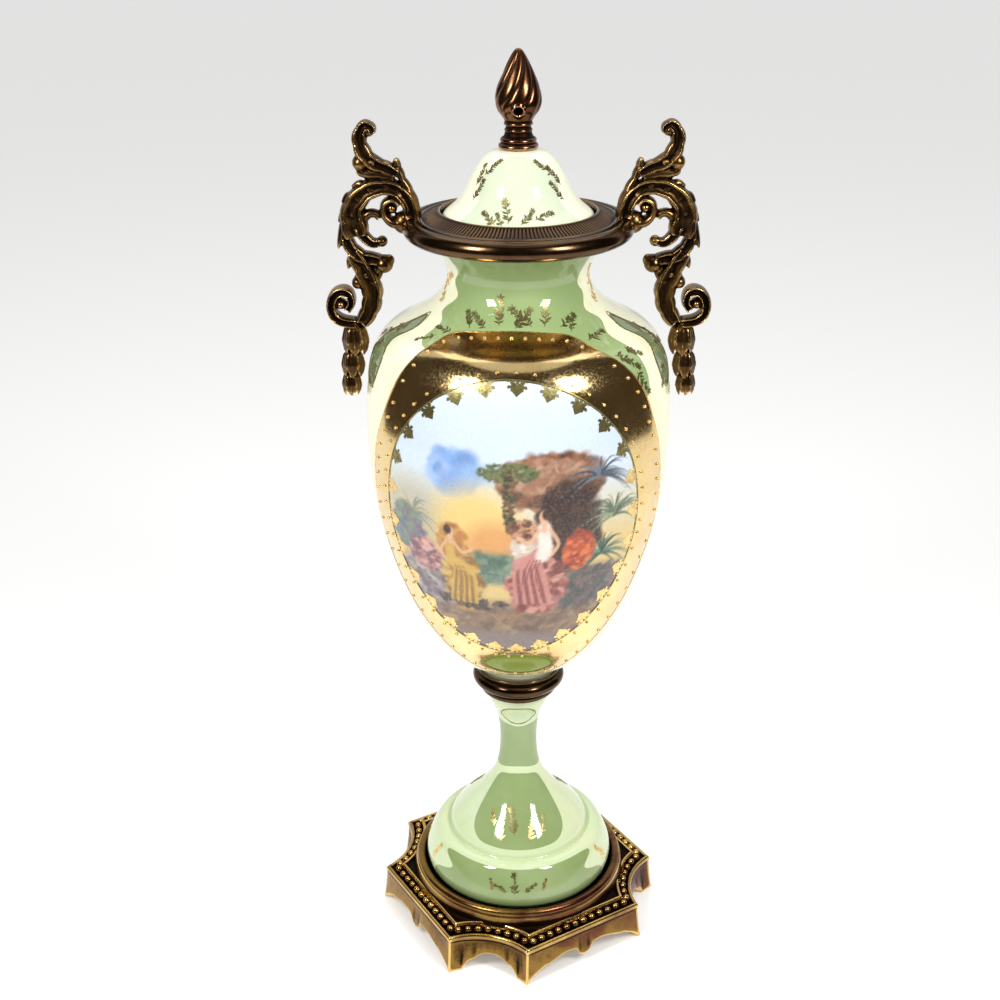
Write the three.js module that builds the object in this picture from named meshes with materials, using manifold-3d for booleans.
// Lidded mantel urn: a turned porcelain body, pedestal and lid, stacked with cast brass mounts.
// Millimetres, +Z up, origin on the ground under the urn's axis. The handles lie in the XZ plane
// and the urn's painted front faces -Y.
import * as THREE from "three";
import { mergeVertices } from "three/addons/utils/BufferGeometryUtils.js";
import Module from "manifold-3d";

const wasm = await Module();
wasm.setup();

// ---- driving dimensions -------------------------------------------------------------------
const urnHeight = 385;
const sides = 24; // facets round every turned piece
const gap = 0.3; // play where two pieces meet
const radians = THREE.MathUtils.degToRad;

const base = {
  cornerRadius: 61.5, // centre to a corner at the top edge
  cornerAngle: 16.5, // degrees from the middle of a hollow side to its corner
  hollow: 5.6, // how far a short side curves in
  turn: -12.85, // degrees that the base is turned on the urn's axis
  arcSteps: 5,
  wall: 3,
  underTop: 15,
  seatFloor: 23.5,
  seatRadius: 43,
  footFlare: 1.4,
  beadsOnLongSide: 12,
  beadsOnShortSide: 8,
  beadInset: 3.7,
  beadSeat: 17.05,
};
const pedestal = { bottom: base.seatFloor + gap, top: 113.5, rim: 42.3, wall: 4, stemHole: 4.4 };
const collar = { bottom: pedestal.top + gap, cupFloor: 123.3, cupRadius: 17.3, top: 125.9, facets: 20 };
const body = { bottom: collar.cupFloor + gap, top: 314.6, wall: 4, plug: 16.6, lip: 34 };
const ring = {
  bottom: body.top + gap,
  tubeX: 41.1,
  tubeZ: 319,
  tube: 3.75,
  lip: 30,
  ledge: 27.5,
  ledgeTop: 321.2,
};
const lid = { bottom: ring.ledgeTop + gap, top: 348.5, rim: 29.4, wall: 3.4 };
const finial = {
  bottom: lid.top + gap,
  top: urnHeight,
  ridges: 6,
  ridgeDepth: 0.09,
  ridgeTwist: 0.045, // radians a millimetre
  bulb: 362, // where the tongues begin
  eye: 1.2,
  eyeRim: 2.6,
  eyeZ: 363.4,
};

// ---- materials ----------------------------------------------------------------------------
const glaze = new THREE.MeshStandardMaterial({ color: 0xb4d3a4, roughness: 0.12, metalness: 0 });
const agedBrass = new THREE.MeshStandardMaterial({ color: 0x6b4a24, roughness: 0.38, metalness: 1 });
const darkBrass = new THREE.MeshStandardMaterial({ color: 0x4a3520, roughness: 0.3, metalness: 1 });
const gildedBrass = new THREE.MeshStandardMaterial({ color: 0x8a6426, roughness: 0.4, metalness: 1 });

// ---- helpers ------------------------------------------------------------------------------
function toSolid(geometry) {
  const bare = geometry.clone();
  bare.deleteAttribute("normal");
  bare.deleteAttribute("uv");
  const merged = mergeVertices(bare, 1e-3);
  return new wasm.Manifold(
    new wasm.Mesh({
      numProp: 3,
      vertProperties: new Float32Array(merged.attributes.position.array),
      triVerts: new Uint32Array(merged.index.array),
    }),
  );
}

function toGeometry(solid) {
  const mesh = solid.getMesh();
  const geometry = new THREE.BufferGeometry();
  geometry.setAttribute("position", new THREE.BufferAttribute(mesh.vertProperties, 3));
  geometry.setIndex(new THREE.BufferAttribute(mesh.triVerts, 1));
  geometry.computeVertexNormals();
  return geometry;
}

const joined = (solids) => solids.reduce((all, one) => all.add(one));

// A smooth line through a few (radius, height) points.
function smoothLine(points, steps) {
  return new THREE.SplineCurve(points.map(([r, z]) => new THREE.Vector2(r, z))).getPoints(steps);
}

// The same line moved sideways by a distance, to the left of its direction.
function beside(line, distance) {
  return line.map((point, i) => {
    const before = line[Math.max(i - 1, 0)];
    const after = line[Math.min(i + 1, line.length - 1)];
    const along = after.clone().sub(before).normalize();
    return new THREE.Vector2(point.x - along.y * distance, point.y + along.x * distance);
  });
}

const everySecond = (line) => line.filter((_, i) => i % 2 === 0);

function arcPoints(cx, cz, radius, fromDeg, toDeg, steps) {
  return Array.from({ length: steps + 1 }, (_, i) => {
    const a = radians(fromDeg + ((toDeg - fromDeg) * i) / steps);
    return new THREE.Vector2(cx + radius * Math.cos(a), cz + radius * Math.sin(a));
  });
}

const at = (r, z) => new THREE.Vector2(r, z);

// A closed skin over a row of sections of equal length. The flat shape of a section closes both ends.
function skin(sections, endShape) {
  const [count, last] = [sections[0].length, sections.length - 1];
  const faces = [];
  for (let k = 0; k < last; k++) {
    for (let i = 0; i < count; i++) {
      const [here, there, next] = [k * count, (k + 1) * count, (i + 1) % count];
      faces.push(here + i, here + next, there + next, here + i, there + next, there + i);
    }
  }
  THREE.ShapeUtils.triangulateShape(endShape, []).forEach(([a, b, c]) => {
    faces.push(c, b, a);
    faces.push(last * count + a, last * count + b, last * count + c);
  });
  const geometry = new THREE.BufferGeometry();
  geometry.setAttribute("position", new THREE.Float32BufferAttribute(sections.flat(2), 3));
  geometry.setIndex(faces);
  return geometry;
}

// A closed (radius, height) outline turned round the Z axis. It runs up the outside and down the inside.
function turned(outline, facets = sides) {
  return new THREE.LatheGeometry(outline, facets).rotateX(Math.PI / 2);
}

function named(name, geometry, material) {
  const mesh = new THREE.Mesh(geometry, material);
  mesh.name = name;
  return mesh;
}

// ---- base: an eight-cornered casting with four straight and four hollow sides --------------
const sideDistance = base.cornerRadius * Math.cos(radians(45 - base.cornerAngle));
const halfHollowChord = base.cornerRadius * Math.sin(radians(base.cornerAngle));
const hollowRadius = (halfHollowChord ** 2 + base.hollow ** 2) / (2 * base.hollow);
const hollowCentre =
  base.cornerRadius * Math.cos(radians(base.cornerAngle)) - base.hollow + hollowRadius;

// The angle, about a hollow side's own centre, at which its inset arc meets the inset straight side.
function hollowHalfAngle(inset) {
  const reach = hollowRadius + inset;
  const wanted = (sideDistance - inset - hollowCentre * Math.SQRT1_2) / reach;
  return Math.asin(THREE.MathUtils.clamp(wanted, -1, 1)) + Math.PI / 4;
}

// The base's outline, moved in by an inset: four hollow arcs whose ends are joined by straight sides.
function baseOutline(inset) {
  const half = hollowHalfAngle(inset);
  const reach = hollowRadius + inset;
  const outline = [];
  for (let quarter = 0; quarter < 4; quarter++) {
    for (let i = 0; i <= base.arcSteps; i++) {
      const t = half * (2 * (i / base.arcSteps) - 1);
      const corner = at(hollowCentre - reach * Math.cos(t), reach * Math.sin(t));
      outline.push(corner.rotateAround(at(0, 0), (quarter * Math.PI) / 2));
    }
  }
  return outline;
}

// The base's outline at several levels, each an inset and a height, joined into one solid.
function stacked(levels) {
  const sections = levels.map(([inset, z]) => baseOutline(inset).map(({ x, y }) => [x, y, z]));
  return toSolid(skin(sections, baseOutline(0)));
}

// The opening under a side, drawn in the side's own plane and pushed through its wall.
function archCut(shape, distance, reach, turnDeg) {
  const settings = { depth: reach, bevelEnabled: false, curveSegments: 2 };
  const geometry = new THREE.ExtrudeGeometry(shape, settings);
  geometry.rotateX(Math.PI / 2).rotateZ(Math.PI / 2); // the side's length along Y, its normal along X
  geometry.translate(distance, 0, 0).rotateZ(radians(turnDeg));
  return toSolid(geometry);
}

function longSideArch() {
  const pendant = 3.8; // how low the middle drop hangs
  const shape = new THREE.Shape();
  shape.moveTo(-28.4, -1);
  shape.lineTo(-28.4, 0);
  shape.quadraticCurveTo(-26.5, 4.6, -20, 6.2);
  shape.quadraticCurveTo(-13, 9.9, -6.2, 8.8);
  shape.quadraticCurveTo(-3.6, 8.2, -3.1, 5.6);
  shape.quadraticCurveTo(-1.8, pendant, 0, pendant);
  shape.quadraticCurveTo(1.8, pendant, 3.1, 5.6);
  shape.quadraticCurveTo(3.6, 8.2, 6.2, 8.8);
  shape.quadraticCurveTo(13, 9.9, 20, 6.2);
  shape.quadraticCurveTo(26.5, 4.6, 28.4, 0);
  shape.lineTo(28.4, -1);
  return shape;
}

function shortSideArch() {
  const shape = new THREE.Shape();
  shape.moveTo(-12.6, -1);
  shape.lineTo(-12.6, 0);
  shape.quadraticCurveTo(-11.6, 4.4, -8.2, 5.4);
  shape.quadraticCurveTo(-6.4, 9.2, 0, 9.2);
  shape.quadraticCurveTo(6.4, 9.2, 8.2, 5.4);
  shape.quadraticCurveTo(11.6, 4.4, 12.6, 0);
  shape.lineTo(12.6, -1);
  return shape;
}

// Beads set side by side along every side of the top.
function beadRow() {
  const { beadInset, beadSeat, beadsOnShortSide, beadsOnLongSide } = base;
  const half = hollowHalfAngle(beadInset);
  const reach = hollowRadius + beadInset;
  const halfSide = (hollowCentre - reach * Math.cos(half) - reach * Math.sin(half)) * Math.SQRT1_2;
  const bead = (place, turn, facing) => {
    const { x, y } = place.rotateAround(at(0, 0), turn);
    const stone = new THREE.OctahedronGeometry(1).scale(1.95, 2.1, 2.8);
    return toSolid(stone.rotateZ(facing).translate(x, y, beadSeat));
  };
  const made = [];
  for (let quarter = 0; quarter < 4; quarter++) {
    const turn = (quarter * Math.PI) / 2;
    for (let i = 0; i < beadsOnShortSide; i++) {
      const t = half * ((2 * i + 1) / beadsOnShortSide - 1);
      made.push(bead(at(hollowCentre - reach * Math.cos(t), reach * Math.sin(t)), turn, turn - t));
    }
    for (let i = 0; i < beadsOnLongSide; i++) {
      const along = halfSide * ((2 * i + 1) / beadsOnLongSide - 1);
      made.push(bead(at(sideDistance - beadInset, along), turn + Math.PI / 4, turn + Math.PI / 4));
    }
  }
  return joined(made);
}

function baseGeometry() {
  const outside = stacked([
    [-base.footFlare, 0],
    [-0.3, 11],
    [0, 17.8],
    [1.3, 17.8],
    [1.8, 17.1],
    [5.3, 18.2],
    [5.7, 20],
    [6.8, 20],
    [7.2, 19.2],
  ]);
  const seat = toSolid(
    turned([
      at(0, 17),
      at(48, 17),
      at(47.6, 23.5),
      ...arcPoints(45.1, 24.8, 2, 0, 180, 3),
      at(base.seatRadius, base.seatFloor),
      at(0, base.seatFloor),
    ]),
  );
  const hollow = stacked([
    [base.wall, -1],
    [base.wall, base.underTop],
  ]);
  const roof = base.seatFloor - base.wall;
  const underSeat = toSolid(turned([at(0, 0), at(40, 0), at(40, roof), at(0, roof)]));
  let solid = joined([outside, seat, beadRow()]).subtract(hollow).subtract(underSeat);
  for (let quarter = 0; quarter < 4; quarter++) {
    const toShortSide = quarter * 90;
    solid = solid.subtract(archCut(longSideArch(), sideDistance - 8, 14, toShortSide + 45));
    solid = solid.subtract(archCut(shortSideArch(), hollowCentre - hollowRadius - 8, 20, toShortSide));
  }
  return toGeometry(solid);
}

// ---- porcelain pieces ---------------------------------------------------------------------
function pedestalGeometry() {
  const skirt = smoothLine(
    [
      [41.4, pedestal.bottom],
      [pedestal.rim, 30],
      [40.6, 35.6],
      [37.8, 41],
      [34.4, 43.4],
    ],
    5,
  );
  const dome = smoothLine(
    [
      [31.2, 42.4],
      [30.4, 47],
      [24.5, 54],
      [16.9, 62],
      [11.4, 70],
      [8.8, 79],
      [8.3, 91],
      [9.7, 101],
      [12.6, 108.4],
      [13.4, pedestal.top],
    ],
    11,
  );
  const stemTop = pedestal.top - 6;
  const insideRim = pedestal.rim - pedestal.wall;
  const inside = [
    at(0, stemTop),
    at(pedestal.stemHole, stemTop),
    at(pedestal.stemHole, 74),
    at(20, 53),
    at(27, 43),
    at(insideRim, 32),
    at(insideRim, pedestal.bottom),
  ];
  return turned([...skirt, ...dome, at(0, pedestal.top), ...inside, skirt[0]]);
}

function bodyGeometry() {
  const outside = smoothLine(
    [
      [body.plug, 126.4],
      [20.4, 129.4],
      [31.4, 138.2],
      [41.4, 152],
      [49.5, 170],
      [56.2, 193],
      [60.1, 214],
      [61.5, 236],
      [61.1, 254],
      [58.4, 269.6],
      [52.4, 278.6],
      [43.2, 284],
      [34.6, 289.6],
      [28.9, 296.4],
      [28.1, 302.6],
      [30.4, 309],
      [body.lip, 313.6],
    ],
    15,
  );
  const inside = everySecond(beside(outside, body.wall).reverse().slice(1));
  return turned([
    at(0, body.bottom),
    at(body.plug, body.bottom),
    ...outside,
    at(body.lip - 0.6, body.top),
    at(body.lip - body.wall, body.top),
    ...inside,
    at(0, inside.at(-1).y),
  ]);
}

function lidGeometry() {
  const outside = smoothLine(
    [
      [lid.rim, 323.4],
      [28.3, 325],
      [24.2, 328.4],
      [20.9, 333],
      [18.4, 338],
      [15, 343.6],
      [11.4, 347.2],
      [7.6, lid.top],
    ],
    8,
  );
  const inside = everySecond(beside(outside, lid.wall).reverse().slice(1, -1));
  return turned([
    at(lid.rim - 0.5, lid.bottom),
    at(lid.rim, lid.bottom + 0.6),
    ...outside,
    at(0, lid.top),
    at(0, lid.top - lid.wall),
    ...inside,
    at(lid.rim - lid.wall, lid.bottom),
    at(lid.rim - 0.5, lid.bottom),
  ]);
}

// ---- turned brass -------------------------------------------------------------------------
function collarGeometry() {
  const outline = [
    at(0, collar.bottom),
    at(13.6, collar.bottom),
    ...arcPoints(14.9, 115.6, 1.9, -30, 40, 2),
    ...arcPoints(17, 120.6, 3, -70, 75, 4),
    at(18.6, collar.top),
    at(collar.cupRadius, collar.top - 0.4),
    at(collar.cupRadius, collar.cupFloor),
    at(0, collar.cupFloor),
  ];
  return turned(outline, collar.facets);
}

// The rim ring's section. Grown by a clearance, it is also the seat that is cut into the handles.
function ringOutline(clearance) {
  const { tubeX, tubeZ, tube, lip, ledge, ledgeTop, bottom } = ring;
  return [
    at(ledge, bottom - clearance),
    at(36.4, bottom - clearance),
    ...arcPoints(tubeX, tubeZ, tube + clearance, -105, 105, 5),
    at(38.6, 322.5 + clearance),
    at(36.8, 323.2 + clearance),
    at(lip + 0.6, 325.6 + clearance),
    at(lip, 325.2 + clearance),
    at(lip, ledgeTop),
    at(ledge, ledgeTop),
    at(ledge, bottom - clearance),
  ];
}

// A flame of twisted tongues over a moulded foot, with a bored eye on its front and back.
function finialGeometry() {
  const flame = [
    [5.7, 360],
    [8.2, 363.2],
    [8.9, 366.4],
    [7.9, 371.4],
    [5.6, 376.8],
    [3.7, 381],
    [1.9, 384],
  ];
  const outline = [
    at(0, finial.bottom),
    at(7.5, finial.bottom),
    at(7.6, 350.6),
    at(5.6, 353.4),
    at(5.1, 357.4),
    ...smoothLine(flame, 7),
    at(0, finial.top),
  ];
  const geometry = turned(outline, finial.ridges * 3);
  const position = geometry.attributes.position;
  for (let i = 0; i < position.count; i++) {
    const [x, y, z] = [position.getX(i), position.getY(i), position.getZ(i)];
    const strength = finial.ridgeDepth * THREE.MathUtils.smoothstep(z, finial.bulb, finial.bulb + 8);
    const twist = (z - finial.bulb) * finial.ridgeTwist;
    const scale = 1 + strength * Math.cos(finial.ridges * (Math.atan2(y, x) - twist));
    position.setXY(i, x * scale, y * scale);
  }
  let solid = toSolid(geometry);
  for (const facing of [-1, 1]) {
    const barrel = (radius, depth, from) => {
      const rod = new THREE.CylinderGeometry(radius, radius, depth, 10);
      return toSolid(rod.translate(0, facing * (from + depth / 2), finial.eyeZ));
    };
    solid = solid.add(barrel(finial.eyeRim, 5, 4)).subtract(barrel(finial.eye, 4, 5.6));
  }
  return toGeometry(solid);
}

// ---- handles: cast scrolls, drawn in the XZ plane -----------------------------------------
// A stroke is a bar swept along a smooth line in that plane. Its half-widths and its half-depth, along Y,
// follow from one end to the other. A channelled stroke has raised rims and a hollow middle on both faces.
const channelled = [
  [-1, 0],
  [-0.7, -1],
  [0, -0.66],
  [0.7, -1],
  [1, 0],
  [0.7, 1],
  [0, 0.66],
  [-0.7, 1],
];
const plain = [
  [-1, -0.8],
  [1, -0.8],
  [1, 0.8],
  [-1, 0.8],
];

function stroke({ through, width, depth, steps, section = plain }) {
  const line = new THREE.SplineCurve(through.map(([x, z]) => at(x, z)));
  const widths = new THREE.SplineCurve(width.map((w, i) => at(i, w)));
  const sections = Array.from({ length: steps + 1 }, (_, i) => {
    const t = i / steps;
    const [middle, along, half] = [line.getPoint(t), line.getTangent(t), widths.getPoint(t).y];
    const thick = depth[0] + (depth[1] - depth[0]) * t;
    return section.map(([across, front]) => [
      middle.x + along.y * across * half,
      front * thick,
      middle.y - along.x * across * half,
    ]);
  });
  return toSolid(skin(sections, section.map(([across, front]) => at(across, front))));
}

function knob(x, z, radius, depth) {
  return toSolid(new THREE.IcosahedronGeometry(1.08).scale(radius, depth, radius).translate(x, 0, z));
}

// A bellflower husk hanging mouth down.
function husk(x, top, length, halfWidth, depth) {
  const outline = [
    at(0, top - length),
    at(halfWidth * 0.6, top - length),
    at(halfWidth, top - length * 0.6),
    at(halfWidth * 0.8, top - length * 0.12),
    at(0, top),
  ];
  return toSolid(turned(outline, 6).rotateZ(Math.PI / 6).scale(1, depth / halfWidth, 1).translate(x, 0, 0));
}

function handleSolid() {
  const arch = {
    through: [[41.6, 320.3], [41.4, 325.7], [43.5, 330.7], [47.6, 333.9], [52.9, 334.3], [57.9, 332.7],
      [61.9, 329.1], [63.9, 324.7], [63.4, 319.7], [62.5, 315.4]],
    width: [3.5, 3.3, 3.2, 3.2, 3.6, 4, 4.4, 4.8, 5.8, 5.4],
    depth: [4, 4.6],
    steps: 10,
    section: channelled,
  };
  const ear = {
    through: [[38.4, 321.4], [39, 326.8], [41.2, 332.2], [44, 337.1], [45.8, 341.3], [46.4, 345]],
    width: [1.4, 1.5, 1.7, 1.7, 1.9, 2.1],
    depth: [3.4, 2.8],
    steps: 4,
  };
  const crest = {
    through: [[45.8, 339.4], [50.3, 341.7], [54.7, 343.4], [58, 346.2], [59.8, 350.3], [59.8, 354.3],
      [57.8, 357.3], [55.4, 356.7], [54.8, 354.3]],
    width: [1.9, 2.6, 3, 3.4, 3.2, 2.8, 2.2, 1.9, 1.7],
    depth: [3.4, 3.4],
    steps: 8,
    section: channelled,
  };
  const neck = {
    through: [[47.4, 337.9], [53, 339], [59, 339.4]],
    width: [1.9, 2.6, 2],
    depth: [3, 3],
    steps: 2,
  };
  const innerCurl = {
    through: [[61.5, 318.9], [59.4, 315], [56.3, 312.6], [53.2, 313]],
    width: [2.3, 2.3, 1.9, 1.5],
    depth: [3.6, 3],
    steps: 4,
  };
  const outerCurl = {
    through: [[66.7, 315], [64.6, 310.3], [60.5, 307.2], [55.9, 306.4], [53.2, 305.4]],
    width: [2.3, 2.9, 2.7, 2.5, 2],
    depth: [3.6, 3.6],
    steps: 5,
  };
  const leafTip = {
    through: [[67.3, 319.5], [69, 313.5], [70, 310.4]],
    width: [2, 1.3, 0.4],
    depth: [3, 1.2],
    steps: 3,
  };
  const shaft = {
    through: [[64.2, 309.1], [60.7, 302.8], [57.9, 296.4], [57.4, 290.8], [58.9, 285.5], [61.9, 280.6]],
    width: [3.1, 4.1, 4.5, 4.3, 3.9, 3.2],
    depth: [4, 4.4],
    steps: 5,
    section: channelled,
  };
  const smallCurl = {
    through: [[60.2, 321.6], [57.6, 323.9], [54.9, 324], [53.3, 322.3]],
    width: [2.1, 1.9, 1.7, 1.5],
    depth: [2.8, 2.6],
    steps: 4,
  };
  const volute = {
    through: [[42.8, 320.7], [48.1, 320.5], [51.4, 323.8], [51.3, 328], [48.1, 329.6], [45.6, 327.6]],
    width: [2.3, 2.1, 1.7, 1.5, 1.3, 1.2],
    depth: [4, 4.6],
    steps: 7,
  };
  const bigVolute = {
    through: [[64.5, 280.6], [69.9, 281.6], [73, 284.2], [73.7, 288.6], [72, 292.4], [68.8, 293.7],
      [66.3, 292.3], [65.7, 288.9], [67.5, 286]],
    width: [2, 2.1, 2.1, 2.1, 2.1, 2, 1.8, 1.7, 1.6],
    depth: [4.2, 5],
    steps: 9,
  };
  const strokes = [arch, ear, crest, neck, innerCurl, outerCurl, leafTip, shaft, smallCurl, volute, bigVolute];
  const knobs = [
    knob(44, 320.6, 4.6, 4.4), // where the arch is brazed to the ring
    knob(48.6, 326.2, 3, 3.8), // volute's web
    knob(52.8, 313.2, 2.2, 3),
    knob(52.4, 304.3, 3.9, 4.4),
    knob(62.8, 296.8, 2.6, 2.9),
    knob(60, 343.4, 3.6, 3.6),
    knob(56.3, 354.9, 2.3, 2.8),
    knob(69.9, 288.4, 3.2, 4.2), // big volute's web
  ];
  const husks = [
    husk(64.9, 281.6, 14, 6.5, 5.8),
    husk(66.3, 270.6, 12.4, 5.7, 5.2),
    husk(67.2, 261.2, 10.8, 4.8, 4.4),
  ];
  const ringTool = toSolid(turned(ringOutline(gap)));
  return joined([...strokes.map(stroke), ...knobs, ...husks]).subtract(ringTool);
}

// ---- the urn ------------------------------------------------------------------------------
const urn = new THREE.Group();

const baseMesh = named("base", baseGeometry(), gildedBrass);
baseMesh.rotation.z = radians(base.turn);
urn.add(baseMesh);

urn.add(named("pedestal", pedestalGeometry(), glaze));
urn.add(named("collar", collarGeometry(), darkBrass));
urn.add(named("body", bodyGeometry(), glaze));
urn.add(named("rim_ring", turned(ringOutline(0)), agedBrass));
urn.add(named("lid", lidGeometry(), glaze));
urn.add(named("finial", finialGeometry(), agedBrass));

const handleGeometry = toGeometry(handleSolid());
urn.add(named("handle_right", handleGeometry, agedBrass));
const handleLeft = named("handle_left", handleGeometry, agedBrass);
handleLeft.rotation.z = Math.PI;
urn.add(handleLeft);

export default urn;
